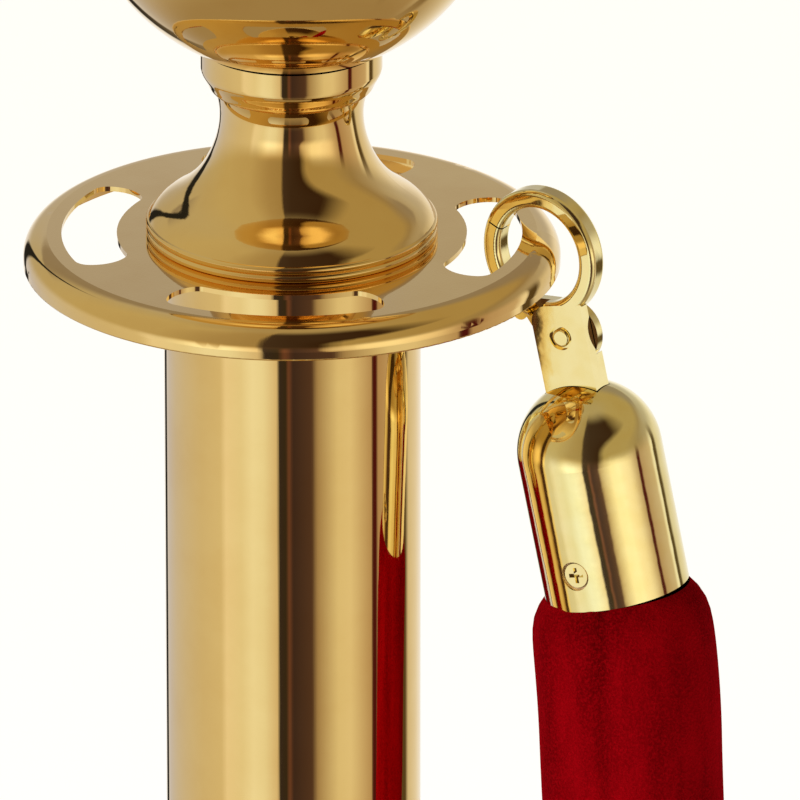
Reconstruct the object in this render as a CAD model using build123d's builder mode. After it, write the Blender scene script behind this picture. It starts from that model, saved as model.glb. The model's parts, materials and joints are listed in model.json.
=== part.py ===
"""Rope barrier stanchion: weighted base, tube post, slotted ring plate, ball finial,
and one velvet rope that hangs by a snap hook at each end from the ring plate.
Origin: centre of the base on the floor, +Z up, millimetres. The first hook hangs on the +X side."""
import os
from math import cos, pi, radians, sin, sqrt, tan

from build123d import *

os.makedirs("parts", exist_ok=True)

# ---- driving dimensions: overall ----
POST_DIA = 50.8
POST_WALL = 1.2
PLATE_TOP = 844.0
BASE_DIA = 320.0
ROPE_DIA = 36.0

# ---- base ----
BASE_HEIGHT = 31.0
BASE_EDGE_HEIGHT = 12.0
BASE_EDGE_RADIUS = 4.0
COVER_WALL = 1.0
COVER_LIFT = 1.0
FLOOR_RING_WIDTH = 14.0
FLOOR_RING_HEIGHT = 3.0
FLOOR_RING_INSET = 6.0
WEIGHT_GAP = 0.5
BASE_FLAT_DIA = 100.0
BOLT_DIA = 12.0
BOLT_HEAD_FLATS = 19.0
BOLT_HEAD_HEIGHT = 7.5
BOLT_HEAD_RECESS = 1.5
BOLT_WASHER_DIA = 30.0
BOLT_WASHER_THICK = 2.5
BOLT_CHAMFER = 1.0
BOLT_SHORT = 2.0
FLOOR_RING_CHAMFER = 0.8
DOME_DROP_AT_MIDDLE = 0.28
DOME_INNER_CORNER = 0.5
PLUG_THICK = 15.0
SKIRT_HEIGHT = 32.0
SKIRT_DIA = 92.0
SKIRT_WALL = 1.2
SKIRT_LIP = 3.0
SKIRT_WAIST_OUT = 5.5
SKIRT_WAIST_AT = 0.45

# ---- ring plate ----
PLATE_DIA = 106.0
PLATE_SHEET = 1.0
PLATE_RIM_DEPTH = 6.5
PLATE_RIM_RADIUS = 4.7
PLATE_LIP_ROUND = 0.45
SLOT_COUNT = 4
SLOT_TURN = -4.5
SLOT_INNER_R = 34.5
SLOT_OUTER_R = 45.4
SLOT_INNER_HALF_ANGLE = 26.2
SLOT_OUTER_HALF_ANGLE = 27.6
SLOT_END_R = 38.9
SLOT_END_HALF_ANGLE = 30.3
SLOT_OUTER_CORNER = 3.2
SLOT_INNER_CORNER = 2.6

# ---- neck, cup and ball ----
STUD_DIA = 10.0
STUD_BELOW = 12.0
SPACER_DIA = 17.0
FLANGE_DIA = 57.6
FLANGE_BEAD = 1.7
FLANGE_BEAD_OUT = 0.6
NECK_WAIST_DIA = 28.4
NECK_HEIGHT = 30.4
NECK_WALL = 1.4
NECK_COLLAR_OUT = 1.0
NECK_CURVE = ((0.83, 0.19), (0.55, 0.29), (0.28, 0.42), (0.10, 0.58), (0.0, 0.85))
CUP_DIA = 35.8
CUP_HEIGHT = 9.0
CUP_RIM = 4.3
CUP_RIM_FLAT = 0.5
CUP_SHOULDER_OUT = 0.55
CUP_SHOULDER_RISE = 1.7
BALL_DIA = 85.0
BALL_WALL = 1.2
BOSS_DIA = 20.0
BOSS_HEIGHT = 12.0
STUD_CHAMFER = 0.8
STUD_SHORT = 1.0

# ---- snap hook, in its own plane: X across, Y up the hook, Z towards its front ----
EYE_HALF_WIDTH = 8.9
EYE_HALF_HEIGHT = 9.9
EYE_LIFT = 0.4
ARM_WIDTH = 3.7
HOOK_THICK = 4.8
ARM_EDGE = 1.1
SEAM_ANGLE = 142.0
SEAM_GAP = 0.3
STRAP_CENTRE = 1.5
STRAP_WIDTH = 11.8
STRAP_TOP = -10.0
STRAP_THICK = 2.6
STRAP_SHOULDER = 3.6
LONG_EDGE = 8.0
STRAP_END = -37.5
RIVET_DROP = -16.7
RIVET_DIA = 2.6
RIVET_HEAD_DIA = 3.8
RIVET_HEAD_HEIGHT = 0.9
RIVET_DISH_DIA = 5.0
RIVET_DISH_DEPTH = 0.7
HEAD_ROUND = 0.6
GATE_TAIL_RADIUS = 6.9
GATE_SIDE_GAP = 0.2
GATE_TAIL_GAP = 0.35
GATE_CHEEK = ((-5.5, -8.8), (-8.9, -9.1))
THUMB_TAB = (-8.5, -11.8)
THUMB_TAB_RADIUS = 1.7
SPRING_DIA = 6.6
SPRING_WIRE = 0.5
SPRING_TURNS = 2
SPRING_POCKET_DEPTH = 1.4
PIN_DIA = 3.0
PIN_LENGTH = 17.0
PIN_DROP = -34.0
PIN_CHAMFER = 0.4

# ---- bell cap on the rope end ----
CAP_DIA = 29.0
CAP_WALL = 1.0
CAP_DOME_CENTRE = -41.0
CAP_MOUTH = -69.9
CAP_SLOT_CLEARANCE = 0.25
SCREW_DROP = -62.4
SCREW_DISH_DIA = 6.0
SCREW_HEAD_DIA = 5.0
SCREW_HEAD_HEIGHT = 1.6
SCREW_SHANK_DIA = 2.6
SCREW_LENGTH = 9.0
SCREW_CROSS_WIDTH = 0.8
SCREW_CROSS_LENGTH = 3.2
SCREW_CROSS_DEPTH = 0.9
SCREW_SINK = 1.2
SCREW_TIP_GAP = 0.5
ROPE_PLUG_TOP = -47.0
ROPE_PLUG_CHAMFER = 1.0
ROPE_SLEEVE_WALL = 2.5

# ---- fits ----
RUNNING = 0.05
THREAD_FIT = 0.02
SEAT = 0.02
LOOSE = 0.3
CUT_OVER = 1.0

# ---- where the two hooks hang: eye centre, and the turn and lean of the hook ----
HOOK_LEAN = 12.9
FIRST_EYE = (49.7, 4.4, PLATE_TOP - 6.7)
FIRST_TURN = -30.0
SECOND_EYE = (-2.6, 49.9, PLATE_TOP - 8.7)
SECOND_TURN = 96.0


def save(part, name):
    """Label one finished piece and write it to its own file."""
    part.label = name
    export_step(part, f"parts/{name}.step")


def hook_plane(eye, turn):
    """Plane of a hanging hook: its Y runs up the hook, which leans outwards at the bottom."""
    lean, heading = radians(HOOK_LEAN), radians(turn)
    across = (cos(lean) * cos(heading), cos(lean) * sin(heading), sin(lean))
    front = (sin(heading), -cos(heading), 0)
    return Plane(origin=eye, x_dir=across, z_dir=front)


def on_hook(plane, across, up, forward=0.0):
    """The same plane, moved to another point of the hook."""
    point = plane.from_local_coords((across, up, forward))
    return Plane(origin=point, x_dir=plane.x_dir, z_dir=plane.z_dir)


# ================================================================ base ====
post_r = POST_DIA / 2
base_r = BASE_DIA / 2
weight_r = base_r - COVER_WALL - WEIGHT_GAP
flat_r = BASE_FLAT_DIA / 2
bolt_r = BOLT_DIA / 2
head_bottom = FLOOR_RING_HEIGHT + BOLT_HEAD_RECESS
head_top = head_bottom + BOLT_HEAD_HEIGHT
washer_top = head_top + BOLT_WASHER_THICK


def draw_dome(inset):
    """Half section of the base dome, its surface moved inwards by inset, closed down to the floor."""
    edge = base_r - inset
    corner = max(BASE_EDGE_RADIUS - inset, DOME_INNER_CORNER)
    top = BASE_HEIGHT - inset
    shoulder = BASE_EDGE_HEIGHT - inset
    Line((0, 0), (0, top))
    Line((0, top), (flat_r, top))
    dome = ThreePointArc(
        (flat_r, top),
        ((flat_r + edge) / 2, top - DOME_DROP_AT_MIDDLE * (top - shoulder)),
        (edge - corner, shoulder),
    )
    rim = TangentArc(dome @ 1, (edge, shoulder - corner), tangent=dome % 1)
    Line(rim @ 1, (edge, 0))
    Line((edge, 0), (0, 0))


with BuildPart() as base_cover:
    with BuildSketch(Plane.XZ):
        with BuildLine():
            draw_dome(0)
        make_face()
    revolve(axis=Axis.Z)
    with BuildSketch(Plane.XZ):
        with BuildLine():
            draw_dome(COVER_WALL)
        make_face()
    revolve(axis=Axis.Z, mode=Mode.SUBTRACT)
    with BuildSketch(Plane.XY):
        Circle(base_r + LOOSE)
    extrude(amount=COVER_LIFT, mode=Mode.SUBTRACT)
    with BuildSketch(Plane.XY):
        Circle(bolt_r + LOOSE)
    extrude(amount=BASE_HEIGHT, mode=Mode.SUBTRACT)
save(base_cover.part, "base_cover")

with BuildPart() as base_weight:
    with BuildSketch(Plane.XZ):
        with BuildLine():
            draw_dome(COVER_WALL + WEIGHT_GAP)
        make_face()
    revolve(axis=Axis.Z)
    with BuildSketch(Plane.XY):
        Circle(base_r)
    extrude(amount=FLOOR_RING_HEIGHT, mode=Mode.SUBTRACT)
    with BuildSketch(Plane.XY.offset(BASE_HEIGHT - COVER_WALL - WEIGHT_GAP)):
        Circle(flat_r)
    extrude(amount=WEIGHT_GAP)
    with BuildSketch(Plane.XY):
        Circle(BOLT_WASHER_DIA / 2 + LOOSE)
    extrude(amount=washer_top, mode=Mode.SUBTRACT)
    with BuildSketch(Plane.XY):
        Circle(bolt_r + LOOSE)
    extrude(amount=BASE_HEIGHT, mode=Mode.SUBTRACT)
save(base_weight.part, "base_weight")

floor_ring_r = weight_r - FLOOR_RING_INSET
with BuildPart() as floor_ring:
    with BuildSketch(Plane.XY):
        Circle(floor_ring_r)
        Circle(floor_ring_r - FLOOR_RING_WIDTH, mode=Mode.SUBTRACT)
    extrude(amount=FLOOR_RING_HEIGHT)
    chamfer(floor_ring.faces().sort_by(Axis.Z)[0].edges(), FLOOR_RING_CHAMFER)
save(floor_ring.part, "floor_ring")

with BuildPart() as base_washer:
    with BuildSketch(Plane.XY.offset(head_top)):
        Circle(BOLT_WASHER_DIA / 2)
        Circle(bolt_r + LOOSE, mode=Mode.SUBTRACT)
    extrude(amount=BOLT_WASHER_THICK)
save(base_washer.part, "base_washer")

with BuildPart() as base_bolt:
    with BuildSketch(Plane.XY.offset(head_bottom)):
        RegularPolygon(BOLT_HEAD_FLATS / 2, 6, major_radius=False)
    extrude(amount=BOLT_HEAD_HEIGHT)
    with BuildSketch(Plane.XY.offset(head_top)):
        Circle(bolt_r)
    extrude(amount=BASE_HEIGHT + PLUG_THICK - BOLT_SHORT - head_top)
    chamfer(base_bolt.faces().sort_by(Axis.Z)[-1].edges(), BOLT_CHAMFER)
save(base_bolt.part, "base_bolt")

# ================================================================ post ====
tube_bore = post_r - POST_WALL
tube_top = PLATE_TOP - PLATE_SHEET
stud_r = STUD_DIA / 2

with BuildPart() as post_tube:
    with BuildSketch(Plane.XY.offset(BASE_HEIGHT)):
        Circle(post_r)
        Circle(tube_bore, mode=Mode.SUBTRACT)
    extrude(amount=tube_top - BASE_HEIGHT)
save(post_tube.part, "post_tube")

with BuildPart() as bottom_plug:
    with BuildSketch(Plane.XY.offset(BASE_HEIGHT)):
        Circle(tube_bore - SEAT)
        Circle(bolt_r + THREAD_FIT, mode=Mode.SUBTRACT)
    extrude(amount=PLUG_THICK)
save(bottom_plug.part, "bottom_plug")

with BuildPart() as top_plug:
    with BuildSketch(Plane.XY.offset(tube_top - PLUG_THICK)):
        Circle(tube_bore - SEAT)
        Circle(stud_r + THREAD_FIT, mode=Mode.SUBTRACT)
    extrude(amount=PLUG_THICK)
save(top_plug.part, "top_plug")

skirt_r = SKIRT_DIA / 2
skirt_top = BASE_HEIGHT + SKIRT_HEIGHT
skirt_throat = post_r + LOOSE
skirt_waist = BASE_HEIGHT + SKIRT_WAIST_AT * SKIRT_HEIGHT
with BuildPart() as post_skirt:
    with BuildSketch(Plane.XZ):
        with BuildLine():
            outer = Spline(
                (skirt_r, BASE_HEIGHT + SKIRT_LIP),
                (post_r + SKIRT_WALL + SKIRT_WAIST_OUT, skirt_waist),
                (skirt_throat + SKIRT_WALL, skirt_top),
                tangents=((-1, 0.25), (0, 1)),
            )
            Line(outer @ 1, (skirt_throat, skirt_top))
            inner = Spline(
                (skirt_throat, skirt_top),
                (post_r + SKIRT_WAIST_OUT, skirt_waist - SKIRT_WALL / 2),
                (skirt_r - SKIRT_WALL, BASE_HEIGHT + SKIRT_LIP - SKIRT_WALL),
                tangents=((0, -1), (1, -0.25)),
            )
            Line(inner @ 1, (skirt_r - SKIRT_WALL, BASE_HEIGHT))
            Line((skirt_r - SKIRT_WALL, BASE_HEIGHT), (skirt_r, BASE_HEIGHT))
            Line((skirt_r, BASE_HEIGHT), outer @ 0)
        make_face()
    revolve(axis=Axis.Z)
save(post_skirt.part, "post_skirt")

# ========================================================== ring plate ====
plate_r = PLATE_DIA / 2
rim_inner_r = plate_r - PLATE_SHEET
bend_inner = PLATE_RIM_RADIUS - PLATE_SHEET
with BuildPart() as ring_plate:
    with BuildSketch(Plane.XZ):
        with BuildLine():
            flat = plate_r - PLATE_RIM_RADIUS
            Line((stud_r + LOOSE, PLATE_TOP), (flat, PLATE_TOP))
            RadiusArc((flat, PLATE_TOP), (plate_r, PLATE_TOP - PLATE_RIM_RADIUS), PLATE_RIM_RADIUS)
            Line((plate_r, PLATE_TOP - PLATE_RIM_RADIUS), (plate_r, PLATE_TOP - PLATE_RIM_DEPTH))
            Line((plate_r, PLATE_TOP - PLATE_RIM_DEPTH), (rim_inner_r, PLATE_TOP - PLATE_RIM_DEPTH))
            Line((rim_inner_r, PLATE_TOP - PLATE_RIM_DEPTH), (rim_inner_r, PLATE_TOP - PLATE_RIM_RADIUS))
            RadiusArc((rim_inner_r, PLATE_TOP - PLATE_RIM_RADIUS), (flat, tube_top), -bend_inner)
            Line((flat, tube_top), (stud_r + LOOSE, tube_top))
            Line((stud_r + LOOSE, tube_top), (stud_r + LOOSE, PLATE_TOP))
        make_face()
    revolve(axis=Axis.Z)
    lip = ring_plate.edges().filter_by(GeomType.CIRCLE).group_by(Axis.Z)[0]
    fillet(lip, PLATE_LIP_ROUND * PLATE_SHEET)
    inner_at, outer_at = radians(SLOT_INNER_HALF_ANGLE), radians(SLOT_OUTER_HALF_ANGLE)
    inner_end = (SLOT_INNER_R * cos(inner_at), SLOT_INNER_R * sin(inner_at))
    outer_end = (SLOT_OUTER_R * cos(outer_at), SLOT_OUTER_R * sin(outer_at))
    end_at = radians(SLOT_END_HALF_ANGLE)
    end_middle = (SLOT_END_R * cos(end_at), SLOT_END_R * sin(end_at))
    with BuildSketch(Plane.XY.offset(tube_top - CUT_OVER), mode=Mode.PRIVATE) as slot:
        with BuildLine():
            CenterArc((0, 0), SLOT_INNER_R, -SLOT_INNER_HALF_ANGLE, 2 * SLOT_INNER_HALF_ANGLE)
            CenterArc((0, 0), SLOT_OUTER_R, -SLOT_OUTER_HALF_ANGLE, 2 * SLOT_OUTER_HALF_ANGLE)
            ThreePointArc(inner_end, end_middle, outer_end)
            ThreePointArc(
                (inner_end[0], -inner_end[1]), (end_middle[0], -end_middle[1]), (outer_end[0], -outer_end[1])
            )
        make_face()
        corners = slot.vertices().group_by(Axis.X)
        fillet(corners[0], SLOT_INNER_CORNER)
        outer_corners = slot.vertices().filter_by(
            lambda v: sqrt(v.X**2 + v.Y**2) > SLOT_OUTER_R - 0.01)
        fillet(outer_corners, SLOT_OUTER_CORNER)
    with BuildSketch(Plane.XY.offset(tube_top - CUT_OVER)):
        with PolarLocations(0, SLOT_COUNT, SLOT_TURN):
            add(slot.sketch_local)
    extrude(amount=PLATE_SHEET + 2 * CUT_OVER, mode=Mode.SUBTRACT)
save(ring_plate.part, "ring_plate")

# ================================================= neck, cup and ball ====
flange_r = FLANGE_DIA / 2
waist_r = NECK_WAIST_DIA / 2
flare = flange_r - waist_r
neck_top_r = waist_r + NECK_COLLAR_OUT
bead_root = flange_r - FLANGE_BEAD_OUT
bead_top = PLATE_TOP + 2 * FLANGE_BEAD


def neck_outline(inset):
    """Neck curve from the flange up to the collar: a bell that closes to a waist."""
    curve = [
        (waist_r + out * flare - inset, PLATE_TOP + up * NECK_HEIGHT)
        for out, up in NECK_CURVE
    ]
    return [(bead_root - inset, bead_top), *curve, (neck_top_r - inset, PLATE_TOP + NECK_HEIGHT)]


with BuildPart() as neck:
    with BuildSketch(Plane.XZ):
        with BuildLine():
            outer = Spline(*neck_outline(0))
            Line(outer @ 1, (neck_top_r - NECK_WALL, PLATE_TOP + NECK_HEIGHT))
            inner = Spline(*reversed(neck_outline(NECK_WALL)))
            Line(inner @ 1, (bead_root - NECK_WALL, PLATE_TOP))
            Line((bead_root - NECK_WALL, PLATE_TOP), (bead_root, PLATE_TOP))
            for bead in (0, 1):
                low = PLATE_TOP + bead * FLANGE_BEAD
                ThreePointArc(
                    (bead_root, low), (flange_r, low + FLANGE_BEAD / 2), (bead_root, low + FLANGE_BEAD)
                )
        make_face()
    revolve(axis=Axis.Z)
save(neck.part, "neck")

cup_bottom = PLATE_TOP + NECK_HEIGHT
cup_rim_top = cup_bottom + CUP_HEIGHT
cup_r = CUP_DIA / 2
ball_r = BALL_DIA / 2
ball_centre = cup_rim_top + sqrt(ball_r**2 - (cup_r - CUP_RIM_FLAT) ** 2)
with BuildPart() as ball_cup:
    with BuildSketch(Plane.XZ):
        with BuildLine():
            flare_line = Spline(
                (neck_top_r, cup_bottom),
                (neck_top_r + CUP_SHOULDER_OUT * (cup_r - neck_top_r), cup_bottom + CUP_SHOULDER_RISE),
                (cup_r, cup_rim_top - CUP_RIM),
                tangents=((1, 0.15), (0.05, 1)),
            )
            Line(flare_line @ 1, (cup_r, cup_rim_top))
            Line((cup_r, cup_rim_top), (0, cup_rim_top))
            Line((0, cup_rim_top), (0, cup_bottom))
            Line((0, cup_bottom), (neck_top_r, cup_bottom))
        make_face()
    revolve(axis=Axis.Z)
    with Locations((0, 0, ball_centre)):
        Sphere(ball_r + SEAT, mode=Mode.SUBTRACT)
    with BuildSketch(Plane.XY.offset(cup_bottom)):
        Circle(stud_r + LOOSE)
    extrude(amount=ball_r, mode=Mode.SUBTRACT)
save(ball_cup.part, "ball_cup")

with BuildPart() as neck_spacer:
    with BuildSketch(Plane.XY.offset(PLATE_TOP)):
        Circle(SPACER_DIA / 2)
        Circle(stud_r + LOOSE, mode=Mode.SUBTRACT)
    extrude(amount=NECK_HEIGHT)
save(neck_spacer.part, "neck_spacer")

ball_inner_r = ball_r - BALL_WALL
with BuildPart() as ball_shell:
    with Locations((0, 0, ball_centre)):
        Sphere(ball_r)
        Sphere(ball_inner_r, mode=Mode.SUBTRACT)
    with BuildSketch(Plane.XY.offset(ball_centre)):
        Circle(stud_r + LOOSE)
    extrude(amount=-(ball_r + CUT_OVER), mode=Mode.SUBTRACT)
save(ball_shell.part, "ball_shell")

boss_r = BOSS_DIA / 2
boss_bottom = ball_centre - ball_inner_r
with BuildPart() as ball_boss:
    with BuildSketch(Plane.XY.offset(boss_bottom)):
        Circle(boss_r)
    extrude(amount=BOSS_HEIGHT)
    with Locations((0, 0, ball_centre)):
        Sphere(ball_inner_r - SEAT, mode=Mode.INTERSECT)
    with BuildSketch(Plane.XY.offset(boss_bottom)):
        Circle(stud_r + THREAD_FIT)
    extrude(amount=BOSS_HEIGHT, mode=Mode.SUBTRACT)
save(ball_boss.part, "ball_boss")

stud_bottom = tube_top - STUD_BELOW
with BuildPart() as top_stud:
    with BuildSketch(Plane.XY.offset(stud_bottom)):
        Circle(stud_r)
    extrude(amount=boss_bottom + BOSS_HEIGHT - STUD_SHORT - stud_bottom)
    chamfer(top_stud.edges().filter_by(GeomType.CIRCLE), STUD_CHAMFER)
save(top_stud.part, "top_stud")

# =========================================================== snap hooks ====
half_thick = HOOK_THICK / 2
strap_back = half_thick - STRAP_THICK
gate_front = strap_back - GATE_SIDE_GAP
strap_left = STRAP_CENTRE - STRAP_WIDTH / 2
tail_clear = GATE_TAIL_RADIUS + GATE_TAIL_GAP
rivet_r = RIVET_DIA / 2
pin_r = PIN_DIA / 2
seam_at = radians(SEAM_ANGLE)


def eye_sketch():
    """The oval loop of the hook, arm and gate together."""
    with BuildSketch() as eye:
        with Locations((0, EYE_LIFT)):
            Ellipse(EYE_HALF_WIDTH + ARM_WIDTH, EYE_HALF_HEIGHT + ARM_WIDTH)
            Ellipse(EYE_HALF_WIDTH, EYE_HALF_HEIGHT, mode=Mode.SUBTRACT)
    return eye.sketch


def gate_side(grow):
    """The part of the loop's plane that belongs to the gate: left of the seam and of the strap."""
    reach = 40
    seam = (grow * sin(seam_at), EYE_LIFT - grow * cos(seam_at))
    with BuildSketch() as side:
        with BuildLine():
            Polyline(
                seam,
                (seam[0] + reach * cos(seam_at), seam[1] + reach * sin(seam_at)),
                (-reach, -reach),
                (strap_left - SEAM_GAP + grow, -reach),
                (strap_left - SEAM_GAP + grow, STRAP_TOP + 3),
                close=True,
            )
        make_face()
    return side.sketch


def make_hook(plane, prefix):
    """One snap hook: fixed arm and strap, gate, its spring, and the rivet that it turns on."""
    rivet_plane = on_hook(plane, STRAP_CENTRE, RIVET_DROP)

    # Fixed half: arm of the loop and the flat strap, cast in one piece, full thickness below the gate.
    with BuildPart() as hook:
        with BuildSketch(plane):
            add(eye_sketch())
            add(gate_side(SEAM_GAP / 2), mode=Mode.SUBTRACT)
        extrude(amount=half_thick, both=True)
        fillet(hook.edges().filter_by(lambda e: e.length > LONG_EDGE), ARM_EDGE)
        with BuildSketch(plane.offset(-half_thick)):
            with Locations((STRAP_CENTRE, RIVET_DROP)):
                Circle(tail_clear)
                Rectangle(EYE_HALF_WIDTH * 2, tail_clear * 2 + EYE_HALF_HEIGHT, align=(Align.MAX, Align.CENTER))
        extrude(amount=HOOK_THICK - STRAP_THICK, mode=Mode.SUBTRACT)
        with BuildSketch(plane.offset(strap_back)) as strap:
            with Locations((STRAP_CENTRE, (STRAP_TOP + STRAP_END) / 2)):
                Rectangle(STRAP_WIDTH, STRAP_TOP - STRAP_END)
            fillet(strap.vertices().group_by(Axis.Y)[-1].sort_by(Axis.X)[0], STRAP_SHOULDER)
            with Locations((0, EYE_LIFT)):
                Ellipse(EYE_HALF_WIDTH, EYE_HALF_HEIGHT, mode=Mode.SUBTRACT)
        extrude(amount=STRAP_THICK)
        with BuildSketch(plane.offset(strap_back)):
            with Locations((strap_left + STRAP_SHOULDER, STRAP_TOP - STRAP_SHOULDER)):
                Rectangle(EYE_HALF_WIDTH, EYE_HALF_HEIGHT, align=(Align.MAX, Align.MIN))
                Circle(STRAP_SHOULDER, mode=Mode.SUBTRACT)
        extrude(amount=HOOK_THICK, mode=Mode.SUBTRACT)
        with BuildSketch(plane.offset(-half_thick)):
            with Locations((STRAP_CENTRE, (RIVET_DROP + STRAP_END) / 2)):
                Rectangle(STRAP_WIDTH, RIVET_DROP - STRAP_END)
            with Locations((STRAP_CENTRE, RIVET_DROP)):
                Circle(tail_clear, mode=Mode.SUBTRACT)
                Rectangle(2 * STRAP_WIDTH, 1.2 * tail_clear, mode=Mode.SUBTRACT)
        extrude(amount=HOOK_THICK - STRAP_THICK)
        with BuildSketch(rivet_plane.offset(-HOOK_THICK)):
            Circle(rivet_r)
        extrude(amount=2 * HOOK_THICK, mode=Mode.SUBTRACT)
        with BuildSketch(rivet_plane.offset(half_thick - RIVET_DISH_DEPTH)):
            Circle(RIVET_DISH_DIA / 2)
        extrude(amount=RIVET_DISH_DEPTH + CUT_OVER, mode=Mode.SUBTRACT)
        with BuildSketch(on_hook(plane, STRAP_CENTRE, PIN_DROP, -HOOK_THICK)):
            Circle(pin_r + THREAD_FIT)
        extrude(amount=2 * HOOK_THICK, mode=Mode.SUBTRACT)
    save(hook.part, f"{prefix}_hook")

    # Gate: the other side of the loop, running down behind the strap to a round tail on the rivet.
    with BuildPart() as gate:
        with BuildSketch(plane):
            add(eye_sketch())
            add(gate_side(-SEAM_GAP / 2), mode=Mode.INTERSECT)
        extrude(amount=half_thick, both=True)
        fillet(gate.edges().filter_by(lambda e: e.length > LONG_EDGE), ARM_EDGE)
        with BuildSketch(plane.offset(-half_thick)):
            with BuildLine():
                Polyline(
                    *GATE_CHEEK,
                    (STRAP_CENTRE - GATE_TAIL_RADIUS, RIVET_DROP),
                    (STRAP_CENTRE, RIVET_DROP),
                    (STRAP_CENTRE, RIVET_DROP + GATE_TAIL_RADIUS),
                    close=True,
                )
            make_face()
            with Locations((STRAP_CENTRE, RIVET_DROP)):
                Circle(GATE_TAIL_RADIUS)
            with Locations(THUMB_TAB):
                Circle(THUMB_TAB_RADIUS)
            with Locations((0, EYE_LIFT)):
                Ellipse(EYE_HALF_WIDTH, EYE_HALF_HEIGHT, mode=Mode.SUBTRACT)
        extrude(amount=gate_front + half_thick)
        with BuildSketch(rivet_plane.offset(-HOOK_THICK)):
            Circle(rivet_r + RUNNING)
        extrude(amount=2 * HOOK_THICK, mode=Mode.SUBTRACT)
        with BuildSketch(rivet_plane.offset(gate_front)):
            Circle(SPRING_DIA / 2 + LOOSE)
        extrude(amount=-SPRING_POCKET_DEPTH, mode=Mode.SUBTRACT)
    save(gate.part, f"{prefix}_gate")

    with BuildPart() as rivet:
        with BuildSketch(rivet_plane.offset(-half_thick - RUNNING)):
            Circle(rivet_r)
        extrude(amount=HOOK_THICK + RUNNING - RIVET_DISH_DEPTH)
        with BuildSketch(rivet_plane.offset(half_thick - RIVET_DISH_DEPTH)):
            Circle(RIVET_HEAD_DIA / 2)
        extrude(amount=RIVET_HEAD_HEIGHT)
        with BuildSketch(rivet_plane.offset(-half_thick - RUNNING)):
            Circle(RIVET_HEAD_DIA / 2)
        extrude(amount=-RIVET_HEAD_HEIGHT)
        heads = rivet.faces().sort_by(Axis(rivet_plane.origin, rivet_plane.z_dir))
        fillet([heads[0].edges(), heads[-1].edges()], HEAD_ROUND * RIVET_HEAD_HEIGHT)
    save(rivet.part, f"{prefix}_rivet")

    coil_r = (SPRING_DIA - SPRING_WIRE) / 2
    coil_base = gate_front - SPRING_POCKET_DEPTH + SPRING_WIRE / 2 + RUNNING
    coil_height = SPRING_POCKET_DEPTH - SPRING_WIRE - 2 * RUNNING
    with BuildPart() as spring:
        with BuildLine():
            start = rivet_plane.offset(coil_base)
            coil = Helix(coil_height / SPRING_TURNS, coil_height, coil_r,
                         center=start.origin, direction=start.z_dir)
        with BuildSketch(Plane(coil @ 0, z_dir=coil % 0)):
            Circle(SPRING_WIRE / 2)
        sweep(is_frenet=True)
    save(spring.part, f"{prefix}_gate_spring")

    with BuildPart() as cross_pin:
        with BuildSketch(on_hook(plane, STRAP_CENTRE, PIN_DROP, -PIN_LENGTH / 2)):
            Circle(pin_r)
        extrude(amount=PIN_LENGTH)
        chamfer(cross_pin.edges().filter_by(GeomType.CIRCLE), PIN_CHAMFER)
    save(cross_pin.part, f"{prefix}_cross_pin")


cap_r = CAP_DIA / 2
cap_bore = cap_r - CAP_WALL
screw_seat = cap_bore - RUNNING - SCREW_SINK


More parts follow.
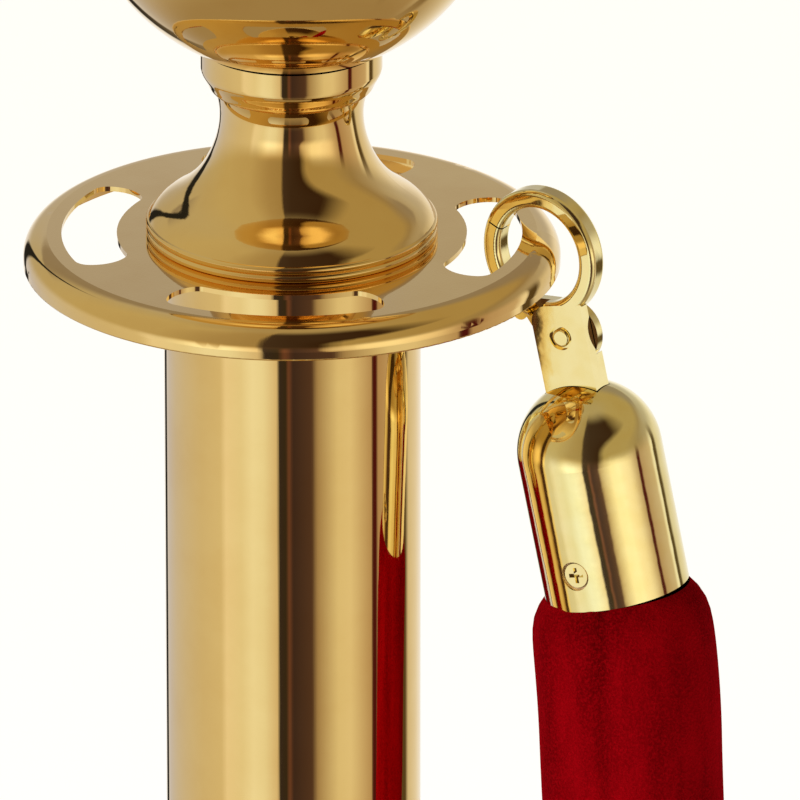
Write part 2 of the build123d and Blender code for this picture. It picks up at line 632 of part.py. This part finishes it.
def make_cap(plane, prefix):
    """The bell cap with its two screws, and the plug that the rope's core is bound to."""
    centre = on_hook(plane, STRAP_CENTRE, CAP_DOME_CENTRE)
    down = Plane(centre.origin, x_dir=centre.z_dir, z_dir=-centre.y_dir)
    skirt = CAP_DOME_CENTRE - CAP_MOUTH
    screw_down = CAP_DOME_CENTRE - SCREW_DROP
    screw_at = down.offset(screw_down).origin

    with BuildPart() as cap:
        with Locations(down.location):
            Sphere(cap_r)
        with BuildSketch(down):
            Circle(cap_r)
        extrude(amount=skirt)
        with Locations(down.location):
            Sphere(cap_bore, mode=Mode.SUBTRACT)
        with BuildSketch(down):
            Circle(cap_bore)
        extrude(amount=skirt, mode=Mode.SUBTRACT)
        with BuildSketch(on_hook(plane, STRAP_CENTRE, 0)):
            Rectangle(STRAP_WIDTH + 2 * CAP_SLOT_CLEARANCE, -2 * CAP_DOME_CENTRE)
        extrude(amount=half_thick + CAP_SLOT_CLEARANCE, both=True, mode=Mode.SUBTRACT)
        for side in (1, -1):
            with BuildSketch(Plane(screw_at, x_dir=plane.x_dir, z_dir=plane.z_dir * side)):
                Circle(SCREW_DISH_DIA / 2)
            extrude(amount=CAP_DIA, mode=Mode.SUBTRACT)
    save(cap.part, f"{prefix}_cap")

    plug_down = CAP_DOME_CENTRE - ROPE_PLUG_TOP
    with BuildPart() as plug:
        with BuildSketch(down.offset(plug_down)):
            Circle(cap_bore - RUNNING)
        extrude(amount=skirt - plug_down)
        chamfer(plug.faces().sort_by(Axis(down.origin, down.z_dir))[0].edges(), ROPE_PLUG_CHAMFER)
        for side in (1, -1):
            screw = Plane(screw_at, x_dir=plane.x_dir, z_dir=plane.z_dir * side)
            with BuildSketch(screw.offset(screw_seat)):
                Circle(SCREW_HEAD_DIA / 2 + RUNNING)
            extrude(amount=CAP_DIA, mode=Mode.SUBTRACT)
            with BuildSketch(screw.offset(screw_seat)):
                Circle(SCREW_SHANK_DIA / 2 + THREAD_FIT)
            extrude(amount=-SCREW_LENGTH, mode=Mode.SUBTRACT)
    save(plug.part, f"{prefix}_rope_plug")

    with BuildPart() as screws:
        for side in (1, -1):
            screw = Plane(screw_at, x_dir=plane.x_dir, z_dir=plane.z_dir * side)
            seat = screw.offset(screw_seat)
            with BuildSketch(seat):
                Circle(SCREW_HEAD_DIA / 2)
            extrude(amount=SCREW_HEAD_HEIGHT)
            with BuildSketch(seat):
                Circle(SCREW_SHANK_DIA / 2)
            extrude(amount=SCREW_TIP_GAP - SCREW_LENGTH)
            with BuildSketch(seat.offset(SCREW_HEAD_HEIGHT)):
                Rectangle(SCREW_CROSS_LENGTH, SCREW_CROSS_WIDTH)
                Rectangle(SCREW_CROSS_WIDTH, SCREW_CROSS_LENGTH)
            extrude(amount=-SCREW_CROSS_DEPTH, mode=Mode.SUBTRACT)
    save(screws.part, f"{prefix}_cap_screws")


for side_name, hook_at in (
    ("first", hook_plane(FIRST_EYE, FIRST_TURN)),
    ("second", hook_plane(SECOND_EYE, SECOND_TURN)),
):
    make_hook(hook_at, side_name)
    make_cap(hook_at, side_name)

# ================================================================= rope ====
# The rope hangs in one loop between the two cap mouths. Its corners, from the first mouth to the second:
first_plane = hook_plane(FIRST_EYE, FIRST_TURN)
second_plane = hook_plane(SECOND_EYE, SECOND_TURN)
ROPE_POINTS = [
    first_plane.from_local_coords((STRAP_CENTRE, CAP_MOUTH, 0)),
    first_plane.from_local_coords((STRAP_CENTRE, CAP_MOUTH - 17, 0)),
    Vector(69.8, -7.9, 724),
    Vector(73.4, -12, 665),
    Vector(82.4, -19, 582),
    Vector(96, -28, 487),
    Vector(111, -38, 395),
    Vector(121, -45, 318),
    Vector(124, -45, 254),
    Vector(113, -29, 206),
    Vector(92, -2, 172),
    Vector(62, 36, 152),
    Vector(31, 75, 154),
    Vector(4, 110, 173),
    Vector(-17, 137, 208),
    Vector(-29, 153, 255),
    Vector(-32, 155, 318),
    Vector(-28, 149, 390),
    Vector(-22, 136, 472),
    Vector(-16, 118, 560),
    Vector(-10, 98, 640),
    Vector(-6, 81, 710),
    second_plane.from_local_coords((STRAP_CENTRE, CAP_MOUTH - 17, 0)),
    second_plane.from_local_coords((STRAP_CENTRE, CAP_MOUTH, 0)),
]


def bend_radii(points):
    """Radius of the arc at each corner: 0.45 of the shorter run over the tangent of half the turn."""
    radii = []
    for before, corner, after in zip(points, points[1:], points[2:]):
        run_in, run_out = corner - before, after - corner
        turn = radians(run_in.get_angle(run_out))
        radii.append(0.45 * min(run_in.length, run_out.length) / tan(turn / 2))
    return radii


ROPE_RADII = bend_radii(ROPE_POINTS)
print("rope bend radii", [round(r) for r in ROPE_RADII])
core_r = ROPE_DIA / 2 - ROPE_SLEEVE_WALL
with BuildPart() as rope_core:
    with BuildLine() as rope_path:
        FilletPolyline(*ROPE_POINTS, radius=ROPE_RADII)
    with BuildSketch(Plane(rope_path.line @ 0, z_dir=rope_path.line % 0)):
        Circle(core_r)
    sweep()
save(rope_core.part, "rope_core")
with BuildPart() as rope_sleeve:
    with BuildLine():
        FilletPolyline(*ROPE_POINTS, radius=ROPE_RADII)
    with BuildSketch(Plane(rope_path.line @ 0, z_dir=rope_path.line % 0)):
        Circle(ROPE_DIA / 2)
        Circle(core_r, mode=Mode.SUBTRACT)
    sweep()
save(rope_sleeve.part, "rope_sleeve")
rope_length = sum(edge.length for edge in rope_path.edges())
print("rope length", round(rope_length), "from its volume", round(rope_core.part.volume / (pi * core_r**2)))
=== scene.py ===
import json
from math import cos, radians, sin, tau

import bpy
import numpy as np
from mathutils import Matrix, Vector


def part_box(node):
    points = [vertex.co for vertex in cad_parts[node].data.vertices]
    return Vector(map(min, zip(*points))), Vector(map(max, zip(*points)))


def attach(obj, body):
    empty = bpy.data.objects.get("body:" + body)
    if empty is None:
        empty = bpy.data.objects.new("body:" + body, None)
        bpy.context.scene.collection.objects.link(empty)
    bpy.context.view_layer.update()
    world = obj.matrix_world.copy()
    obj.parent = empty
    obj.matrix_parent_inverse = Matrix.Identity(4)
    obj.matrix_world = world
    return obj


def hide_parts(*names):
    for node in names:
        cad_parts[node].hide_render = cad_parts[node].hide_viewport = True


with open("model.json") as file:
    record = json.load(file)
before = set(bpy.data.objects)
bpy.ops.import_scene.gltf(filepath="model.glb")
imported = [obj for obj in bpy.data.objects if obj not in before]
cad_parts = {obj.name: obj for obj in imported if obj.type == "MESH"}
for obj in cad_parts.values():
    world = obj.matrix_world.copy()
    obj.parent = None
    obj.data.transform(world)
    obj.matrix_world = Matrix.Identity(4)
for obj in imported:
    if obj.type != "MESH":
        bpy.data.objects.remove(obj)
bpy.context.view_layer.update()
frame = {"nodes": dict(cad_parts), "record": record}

nodes = frame["nodes"]

# The ring plate's top, from the frame: the lamps and the camera are placed from it.
PLATE_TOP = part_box("ring_plate")[1][2]

# The rope: its size, and the corners of its hanging loop from the first cap mouth to the second.
ROPE_DIAMETER = 0.036
ROPE_ROW_PITCH = 0.0022
ROPE_COLUMNS = 96
ROPE_ROUTE = [
    (0.0645, -0.0041, 0.7695), (0.0668, -0.0060, 0.7529), (0.0677, -0.0079, 0.724),
    (0.0711, -0.012, 0.665), (0.0804, -0.019, 0.582), (0.096, -0.028, 0.487),
    (0.111, -0.038, 0.395), (0.121, -0.045, 0.318), (0.124, -0.045, 0.254),
    (0.113, -0.029, 0.206), (0.092, -0.002, 0.172), (0.062, 0.036, 0.152),
    (0.031, 0.075, 0.154), (0.004, 0.110, 0.173), (-0.017, 0.137, 0.208),
    (-0.029, 0.153, 0.255), (-0.032, 0.155, 0.318), (-0.028, 0.149, 0.390),
    (-0.022, 0.136, 0.472), (-0.016, 0.118, 0.560), (-0.010, 0.098, 0.640),
    (-0.006, 0.081, 0.710), (-0.0048, 0.0707, 0.7518), (-0.0044, 0.0669, 0.7684),
]


# ---------------------------------------------------------------- shader maths ----
class Tap:
    """One output of a shader node. Arithmetic on it adds the Math nodes that work it out."""

    def __init__(self, tree, socket):
        self.tree, self.socket = tree, socket

    def math(self, operation, *others):
        inputs = dict(enumerate((self, *others)))
        return add_node(self.tree, "ShaderNodeMath", {"operation": operation}, inputs)

    def __add__(self, other):
        return self.math("ADD", other)

    __radd__ = __add__

    def __sub__(self, other):
        return self.math("SUBTRACT", other)

    def __rsub__(self, other):
        return (self * -1) + other

    def __mul__(self, other):
        return self.math("MULTIPLY", other)

    __rmul__ = __mul__

    def __truediv__(self, other):
        return self.math("DIVIDE", other)

    def step(self, low, high):
        """0 below low, 1 above high, and a smooth rise between them."""
        settings = {"interpolation_type": "SMOOTHSTEP"}
        inputs = {"Value": self, "From Min": low, "From Max": high}
        return add_node(self.tree, "ShaderNodeMapRange", settings, inputs)

    def band(self, low, high, soft):
        """1 between low and high, 0 outside, with edges that reach soft to each side."""
        return self.step(low - soft, low + soft) * (1 - self.step(high - soft, high + soft))


def add_node(tree, kind, settings=None, inputs=None, output=0):
    """One node with its settings, then its sockets' values or links; gives back one of its outputs."""
    made = tree.nodes.new(kind)
    for key, value in (settings or {}).items():
        if key == "stops":
            ramp = made.color_ramp
            ramp.elements[0].color, ramp.elements[1].color = (*value[0][1], 1), (*value[-1][1], 1)
            for place, colour in value[1:-1]:
                ramp.elements.new(place).color = (*colour, 1)
        else:
            setattr(made, key, value)
    for key, value in (inputs or {}).items():
        if isinstance(value, Tap):
            tree.links.new(value.socket, made.inputs[key])
        else:
            made.inputs[key].default_value = value
    return Tap(tree, made.outputs[output])


def new_material(name):
    """An empty node material with its Principled shader."""
    material = bpy.data.materials.new(name)
    material.use_nodes = True
    tree = material.node_tree
    return material, tree, tree.nodes["Principled BSDF"]


def set_shader(tree, shader, **sockets):
    """Values and links for the Principled shader; words are joined by underscores."""
    for key, value in sockets.items():
        socket = shader.inputs[key.replace("_", " ")]
        if isinstance(value, Tap):
            tree.links.new(value.socket, socket)
        else:
            socket.default_value = value


def object_place(tree, stretch=(1, 1, 1)):
    """Object coordinates in metres, each axis multiplied by stretch."""
    place = add_node(tree, "ShaderNodeTexCoord", output="Object")
    return add_node(tree, "ShaderNodeVectorMath", {"operation": "MULTIPLY"}, {0: place, 1: stretch})


def noise(tree, place, scale, detail=2.0, roughness=0.5):
    """Soft random cloud between 0 and 1, finer as scale grows."""
    inputs = {"Vector": place, "Scale": scale, "Detail": detail, "Roughness": roughness}
    return add_node(tree, "ShaderNodeTexNoise", {"noise_dimensions": "3D"}, inputs)


def mix_colour(tree, factor, low, high):
    """The colour low where factor is 0, high where it is 1."""
    low, high = (colour if isinstance(colour, Tap) else (*colour, 1) for colour in (low, high))
    return add_node(tree, "ShaderNodeMix", {"data_type": "RGBA"}, {0: factor, 6: low, 7: high}, 2)


def bump(tree, height, distance, strength=1.0):
    """A surface normal tilted by height, which stands for up to distance in metres."""
    inputs = {"Height": height, "Distance": distance, "Strength": strength}
    return add_node(tree, "ShaderNodeBump", None, inputs)


# ------------------------------------------------------------------ finishes ----
def polished_gold_steel():
    """Titanium-gold coated stainless steel: a mirror polish with faint wiping marks and hairlines."""
    material, tree, shader = new_material("polished_gold_steel")
    smudge = noise(tree, object_place(tree), scale=55, detail=4, roughness=0.6)
    hairline = noise(tree, object_place(tree, stretch=(1, 1, 0.02)), scale=2600)
    tone = mix_colour(tree, smudge.step(0.35, 0.7), (0.93, 0.68, 0.30), (0.90, 0.64, 0.27))
    set_shader(tree, shader, Base_Color=tone, Metallic=1.0,
               Roughness=smudge.step(0.4, 0.75) * 0.02 + hairline * 0.02 + 0.02,
               Normal=bump(tree, hairline, distance=0.000004, strength=0.35))
    return material


def gold_plating():
    """Bright gold electroplate on a zinc casting: glossy, with the casting's slight ripple."""
    material, tree, shader = new_material("gold_plating")
    ripple = noise(tree, object_place(tree), scale=260, roughness=0.4)
    tone = mix_colour(tree, ripple.step(0.3, 0.7), (1.0, 0.87, 0.46), (0.98, 0.83, 0.40))
    set_shader(tree, shader, Base_Color=tone, Metallic=1.0, Roughness=ripple * 0.05 + 0.04,
               Normal=bump(tree, ripple, distance=0.00006, strength=0.5))
    return material


def velvet():
    """Deep red cotton velvet: short pile that scatters light at its edges, with brushed streaks."""
    material, tree, shader = new_material("red_velvet")
    pile = noise(tree, object_place(tree), scale=1900, detail=3, roughness=0.6)
    brushed = noise(tree, object_place(tree, stretch=(1, 1, 0.25)), scale=90, detail=3, roughness=0.6)
    tone = mix_colour(tree, brushed.step(0.3, 0.72), (0.10, 0.0002, 0.0012), (0.23, 0.0007, 0.0030))
    tone = mix_colour(tree, pile.step(0.35, 0.75) * 0.6, tone, (0.32, 0.0012, 0.0045))
    set_shader(tree, shader, Base_Color=tone, Roughness=0.95, Sheen_Weight=0.35, Sheen_Roughness=0.3,
               Sheen_Tint=(1.0, 0.02, 0.04, 1), Specular_IOR_Level=0.0,
               Normal=bump(tree, pile, distance=0.0006, strength=0.7))
    return material


def cotton():
    """Undyed cotton filling: matt, with the slubs of its yarn."""
    material, tree, shader = new_material("cotton_filling")
    slub = noise(tree, object_place(tree), scale=700, detail=4, roughness=0.7)
    tone = mix_colour(tree, slub, (0.62, 0.56, 0.45), (0.84, 0.80, 0.70))
    set_shader(tree, shader, Base_Color=tone, Roughness=slub * 0.1 + 0.88,
               Normal=bump(tree, slub, distance=0.0005, strength=0.6))
    return material


def zinc_steel():
    """Zinc-plated mild steel: dull grey spangle."""
    material, tree, shader = new_material("zinc_steel")
    spangle = noise(tree, object_place(tree), scale=400, detail=3)
    tone = mix_colour(tree, spangle, (0.46, 0.48, 0.50), (0.64, 0.66, 0.68))
    set_shader(tree, shader, Base_Color=tone, Metallic=1.0, Roughness=spangle * 0.2 + 0.25)
    return material


def black_casting():
    """Painted grey-iron casting with its sand texture."""
    material, tree, shader = new_material("black_casting")
    grain = noise(tree, object_place(tree), scale=500, detail=4, roughness=0.7)
    tone = mix_colour(tree, grain, (0.012, 0.012, 0.013), (0.04, 0.04, 0.042))
    set_shader(tree, shader, Base_Color=tone, Roughness=grain * 0.2 + 0.5,
               Normal=bump(tree, grain, distance=0.0004, strength=0.6))
    return material


def black_rubber():
    """Moulded black rubber, matt with a dusting of bloom."""
    material, tree, shader = new_material("black_rubber")
    bloom = noise(tree, object_place(tree), scale=180, detail=4, roughness=0.6)
    tone = mix_colour(tree, bloom.step(0.4, 0.8), (0.014, 0.014, 0.014), (0.045, 0.044, 0.042))
    set_shader(tree, shader, Base_Color=tone, Roughness=bloom * 0.2 + 0.65,
               Normal=bump(tree, bloom, distance=0.0002, strength=0.4))
    return material


def turned_wood():
    """Turned softwood with its growth rings."""
    material, tree, shader = new_material("turned_wood")
    settings = {"wave_type": "RINGS", "rings_direction": "Z"}
    inputs = {"Vector": object_place(tree), "Scale": 160, "Distortion": 3, "Detail": 2}
    rings = add_node(tree, "ShaderNodeTexWave", settings, inputs, "Fac")
    tone = mix_colour(tree, rings, (0.52, 0.34, 0.18), (0.68, 0.49, 0.28))
    set_shader(tree, shader, Base_Color=tone, Roughness=rings * 0.15 + 0.55)
    return material


FINISHES = {
    "gold_steel": polished_gold_steel(),
    "gold_plate": gold_plating(),
    "velvet": velvet(),
    "steel": zinc_steel(),
    "spring_steel": zinc_steel(),
    "cast_iron": black_casting(),
    "rubber": black_rubber(),
    "wood": turned_wood(),
    "rope_filling": cotton(),
}
slot_of = {row["node"]: row["material_slot"] for row in frame["record"]["subparts"]}
for name, obj in nodes.items():
    for place in obj.material_slots:
        place.material = FINISHES[slot_of[name]]


# -------------------------------------------------------------------- shapes ----
def tube_piece(name, points):
    """A tube on a grid of points: each row goes round, and its last point joins its first."""
    rows, columns, _ = points.shape
    mesh = bpy.data.meshes.new(name)
    row, column = np.meshgrid(np.arange(rows - 1), np.arange(columns), indexing="ij")
    after = (column + 1) % columns
    faces = np.stack([row * columns + column, row * columns + after,
                      (row + 1) * columns + after, (row + 1) * columns + column], -1).reshape(-1, 4)
    mesh.from_pydata(points.reshape(-1, 3).tolist(), [], faces.tolist())
    mesh.shade_smooth()
    piece = bpy.data.objects.new(name, mesh)
    bpy.context.scene.collection.objects.link(piece)
    return piece


def route_spline(name, route):
    """The smooth line of a cord: a NURBS spline with the route's points as its control points."""
    curve = bpy.data.curves.new(name, "CURVE")
    curve.dimensions = "3D"
    curve.resolution_u = 24
    spline = curve.splines.new("NURBS")
    spline.points.add(len(route) - 1)
    for point, place in zip(spline.points, route):
        point.co = (*place, 1)
    spline.order_u = 3
    spline.use_endpoint_u = True
    holder = bpy.data.objects.new(name, curve)
    mesh = bpy.data.meshes.new_from_object(holder)
    line = np.array([v.co for v in mesh.vertices])
    bpy.data.objects.remove(holder)
    bpy.data.curves.remove(curve)
    bpy.data.meshes.remove(mesh)
    return line


def even_line(line, pitch):
    """The same line with its points about pitch apart, and each point's distance from the start."""
    along = np.concatenate([[0], np.cumsum(np.linalg.norm(np.diff(line, axis=0), axis=1))])
    count = int(round(along[-1] / pitch)) + 1
    even = np.linspace(0, along[-1], count)
    return np.stack([np.interp(even, along, line[:, k]) for k in range(3)], 1), even


def line_frames(line):
    """Two cross directions at each point, carried along the line without twisting.

    The first is the one before it, less its part along the tangent, brought back to length 1; the second is
    the tangent crossed with the first.
    """
    tangent = np.gradient(line, axis=0)
    tangent /= np.linalg.norm(tangent, axis=1)[:, None]
    side = np.cross(tangent[0], (0, 1, 0))
    sides = []
    for direction in tangent:
        side = side - direction * side.dot(direction)
        side = side / np.linalg.norm(side)
        sides.append(side)
    sides = np.array(sides)
    return sides, np.cross(tangent, sides)


def crease_shape(a, centre, width):
    """A bell across the angle a: exp(-(d / width) squared), where d is the turn from centre to a."""
    return np.exp(-((np.angle(np.exp(1j * (a - centre))) / width) ** 2))


def make_velvet_rope():
    """Velvet sleeve: a tube along the loop, gathered at both mouths, with soft creases along it.

    At the distance s along the loop and the angle a round it, the radius is the rope's own, times the
    gather, times the swell, less the depths of two creases. The gather takes a fifth off at a mouth and
    dies away as exp(-(distance / 3.2 mm) to the power 1.2). The swell is two small sine waves, one in s and
    one in 2a + s, which makes the section slightly oval. The creases wander slowly round the rope with s.
    """
    line, along = even_line(route_spline("rope_line", ROPE_ROUTE), ROPE_ROW_PITCH)
    side, other = line_frames(line)
    angle = np.linspace(0, tau, ROPE_COLUMNS, endpoint=False)
    s, a = np.meshgrid(along, angle, indexing="ij")
    from_end = np.minimum(s, along[-1] - s)
    gather = 1 - 0.2 * np.exp(-((from_end / 0.0032) ** 1.2))
    swell = 1.006 + 0.006 * np.sin(s * 61 + 1.3 * np.sin(s * 23)) + 0.008 * np.sin(2 * a + s * 14)
    deep_at = 1.76 + 2.1 * s + 0.04 * np.sin(s * 90)
    deep_crease = 0.0015 * crease_shape(a, deep_at, width=0.075)
    faint_crease = 0.0006 * crease_shape(a, deep_at + 0.46 + 0.1 * np.sin(s * 25), width=0.16)
    radius = ROPE_DIAMETER / 2 * gather * swell - deep_crease - faint_crease
    outward = np.cos(a)[..., None] * side[:, None, :] + np.sin(a)[..., None] * other[:, None, :]
    rope = tube_piece("velvet_rope", line[:, None, :] + radius[..., None] * outward)
    rope.data.materials.append(FINISHES["velvet"])
    return rope, line


rope, rope_line = make_velvet_rope()
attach(rope, "root")
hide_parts("rope_sleeve", "rope_core")

# --------------------------------------------------------------------- stage ----
FLOOR_HALF = 30.0
floor_mesh = bpy.data.meshes.new("floor")
floor_corners = [(x * FLOOR_HALF, y * FLOOR_HALF, 0) for x, y in ((-1, -1), (1, -1), (1, 1), (-1, 1))]
floor_mesh.from_pydata(floor_corners, [], [(0, 1, 2, 3)])
floor = bpy.data.objects.new("floor", floor_mesh)
bpy.context.scene.collection.objects.link(floor)
floor.visible_glossy = False
pale, pale_tree, pale_shader = new_material("pale_floor")
set_shader(pale_tree, pale_shader, Base_Color=(0.80, 0.84, 0.93, 1), Roughness=0.8,
           Emission_Color=(0.98, 0.99, 1, 1), Emission_Strength=0.68)
floor_mesh.materials.append(pale)


# What the metal sees at each heading in degrees, 0 at the front and rising to the right: first low down,
# then above the horizon.
LOW_STUDIO = (
    (-180, (1.0, 1.0, 1.0)), (-168, (0.92, 0.92, 0.92)), (-165, (0.84, 0.84, 0.86)),
    (-156, (0.70, 0.71, 0.78)), (-148, (0.60, 0.62, 0.76)), (-90, (0.67, 0.62, 0.50)),
    (-68, (0.72, 0.67, 0.52)), (-62, (0.88, 0.85, 0.76)), (-47, (0.84, 0.84, 0.72)),
    (-36, (0.92, 0.97, 0.92)), (-26, (0.88, 0.92, 0.84)), (-13.5, (0.72, 0.64, 0.50)),
    (-11.5, (0.04, 0.03, 0.03)), (-5.5, (0.04, 0.03, 0.02)), (-2.6, (0.16, 0.07, 0.05)),
    (0.5, (0.05, 0.03, 0.03)), (18, (0.09, 0.05, 0.04)), (23, (0.40, 0.31, 0.20)),
    (42, (0.76, 0.71, 0.54)), (54, (0.79, 0.74, 0.58)), (66, (0.63, 0.54, 0.40)),
    (76, (0.50, 0.38, 0.26)), (77.5, (0.07, 0.01, 0.01)), (82, (0.08, 0.01, 0.01)),
    (84, (0.46, 0.33, 0.22)), (108, (0.60, 0.50, 0.38)), (113, (0.90, 0.88, 0.80)),
    (116, (0.90, 0.88, 0.80)), (118, (0.10, 0.07, 0.03)), (124, (0.10, 0.07, 0.03)),
    (129, (0.70, 0.66, 0.54)), (180, (1.0, 1.0, 1.0)),
)
HIGH_STUDIO = (
    (-180, (0.50, 0.49, 0.52)), (-152, (0.50, 0.46, 0.36)), (-100, (0.55, 0.48, 0.30)),
    (-60, (0.53, 0.45, 0.27)), (-34, (0.42, 0.33, 0.18)), (-15, (0.38, 0.29, 0.15)),
    (-12, (0.06, 0.04, 0.03)), (12, (0.04, 0.02, 0.01)), (22, (0.42, 0.33, 0.16)),
    (60, (0.42, 0.33, 0.16)), (90, (0.34, 0.27, 0.16)), (150, (0.52, 0.50, 0.46)),
    (180, (0.50, 0.49, 0.52)),
)
# Where the studio changes. Heights are in degrees above the horizon. A heading given as a share of the
# whole turn has the front at 0.5 and the right above it. A pair is where a change begins and ends.
HORIZON, HORIZON_RISE, HORIZON_RISE_AT = (-13, 6), 9, (0.52, 0.60)
GAP_NARROWER, GAP_NARROWER_AT = 11, (-19, -9)
GAP_EDGE_BEGINS, GAP_EDGE_ENDS = (0.5, 0.55), (0.61, 0.69)
GAP_WIDER, GAP_WIDER_AT, GAP_MIDDLE = 0.75, (14, 44), (0.49, 0.51)
BACK_SHEET, BACK_SHEET_DEPTH, BACK_SHEET_FOOT = (0.30, 0.26, 0.22), (0.55, 0.8), (20.5, 23.5)
GLOW, GLOW_HEIGHTS, GLOW_HEADINGS = 0.4, (-14, 4, 5), (0.37, 0.69, 0.03)
STAND, STAND_HEADING, STAND_FOOT, STAND_LEAN = (0.02, 0.02, 0.02), 19.5, -22, 0.4
STAND_SIDES, STAND_TAPER, STAND_TAPER_AT, STAND_TOP = (-4.5, 4.5, 1.5), 1.3, (-5, 25), (32, 48)
CEILING, CEILING_AT = (0.42, 0.35, 0.22), (60, 85)
GROUND, GROUND_AT = (0.36, 0.28, 0.17), (-62, -30)
TURN = 360


def build_world():
    """The studio as the metal sees it: pale sheets at the sides and behind, a dark gap at the front.

    Each direction's heading reads the low and the high studio, which blend at the horizon. The gap's right
    edge moves in just below the horizon and out above it. A glow lifts the sheets beside the gap, a slim
    dark stand leans in from behind on the left, and the ceiling and the ground close the two ends.
    """
    world = bpy.data.worlds.new("studio")
    bpy.context.scene.world = world
    world.use_nodes = True
    tree = world.node_tree
    direction = add_node(tree, "ShaderNodeTexCoord", output="Generated")
    split = add_node(tree, "ShaderNodeSeparateXYZ", None, {0: direction})
    x, y, z = (Tap(tree, split.socket.node.outputs[k]) for k in range(3))
    share = x.math("ARCTAN2", y * -1) / tau + 0.5
    height = z.math("ARCSINE") * (TURN / tau)
    edge = share.step(*GAP_EDGE_BEGINS) * (1 - share.step(*GAP_EDGE_ENDS))
    low_at = share + edge * height.step(*GAP_NARROWER_AT) * (GAP_NARROWER / TURN)
    squeeze = 1 - height.step(*GAP_WIDER_AT) * share.step(*GAP_MIDDLE) * GAP_WIDER
    high_at = (share - 0.5) * squeeze + 0.5
    low, high = (
        add_node(tree, "ShaderNodeValToRGB", {"stops": [(at / TURN + 0.5, colour) for at, colour in studio]},
                 {"Fac": place}, "Color")
        for studio, place in ((LOW_STUDIO, low_at), (HIGH_STUDIO, high_at))
    )
    behind = y.step(*BACK_SHEET_DEPTH) * height.step(*BACK_SHEET_FOOT)
    high = mix_colour(tree, behind, high, BACK_SHEET)
    rise = share.step(*HORIZON_RISE_AT) * HORIZON_RISE
    light = mix_colour(tree, (height - rise).step(*HORIZON), low, high)
    glow = height.band(*GLOW_HEIGHTS) * share.band(*GLOW_HEADINGS) * GLOW + 1
    light = add_node(tree, "ShaderNodeVectorMath", {"operation": "SCALE"}, {0: light, "Scale": glow})
    lean = (height - STAND_FOOT).math("MAXIMUM", 0) * STAND_LEAN
    taper = height.step(*STAND_TAPER_AT) * STAND_TAPER + 1
    stand = ((share * TURN - STAND_HEADING - lean) * taper).band(*STAND_SIDES)
    light = mix_colour(tree, stand * (1 - height.step(*STAND_TOP)), light, STAND)
    light = mix_colour(tree, height.step(*CEILING_AT), light, CEILING)
    light = mix_colour(tree, height.step(*GROUND_AT), GROUND, light)
    tree.links.new(light.socket, tree.nodes["Background"].inputs["Color"])


build_world()


def softbox(name, place, aim, size, power):
    """A square area light at place that faces aim, seen neither by the camera nor in the metal."""
    lamp = bpy.data.lights.new(name, "AREA")
    lamp.shape, lamp.size, lamp.energy = "SQUARE", size, power
    lamp_object = bpy.data.objects.new(name, lamp)
    bpy.context.scene.collection.objects.link(lamp_object)
    lamp_object.location = place
    lamp_object.rotation_euler = (Vector(aim) - Vector(place)).to_track_quat("-Z", "Y").to_euler()
    lamp_object.visible_camera = False
    lamp_object.visible_glossy = False


LAMP_AIM = (0, 0, PLATE_TOP - 0.1)
softbox("key", place=(-1.6, -1.2, 1.6), aim=LAMP_AIM, size=0.6, power=34)
softbox("fill", place=(1.8, -1.0, 1.5), aim=LAMP_AIM, size=0.9, power=5)

# -------------------------------------------------------------------- camera ----
VIEW_ELEVATION = radians(22.0)
VIEW_DISTANCE = 3.0
VIEW_WIDTH = 0.1576
AIM_RIGHT = 0.0213
AIM_DOWN = 0.0333
SENSOR_WIDTH = 36.0
VIEW_REACH = 100
view_up = Vector((0, sin(VIEW_ELEVATION), cos(VIEW_ELEVATION)))
view_back = Vector((0, -cos(VIEW_ELEVATION), sin(VIEW_ELEVATION)))
aim = Vector((AIM_RIGHT, 0, PLATE_TOP)) - view_up * AIM_DOWN
camera_data = bpy.data.cameras.new("camera")
camera_data.sensor_width = SENSOR_WIDTH
camera_data.lens = SENSOR_WIDTH * VIEW_DISTANCE / VIEW_WIDTH
camera = bpy.data.objects.new("camera", camera_data)
bpy.context.scene.collection.objects.link(camera)
camera.location = aim + view_back * VIEW_DISTANCE
camera.rotation_euler = view_back.to_track_quat("Z", "Y").to_euler()
camera_data.clip_end = VIEW_REACH
bpy.context.scene.camera = camera
bpy.context.scene.view_settings.view_transform = "Standard"
for leftover in ("Cube", "Light"):
    if leftover in bpy.data.objects:
        bpy.data.objects.remove(bpy.data.objects[leftover])
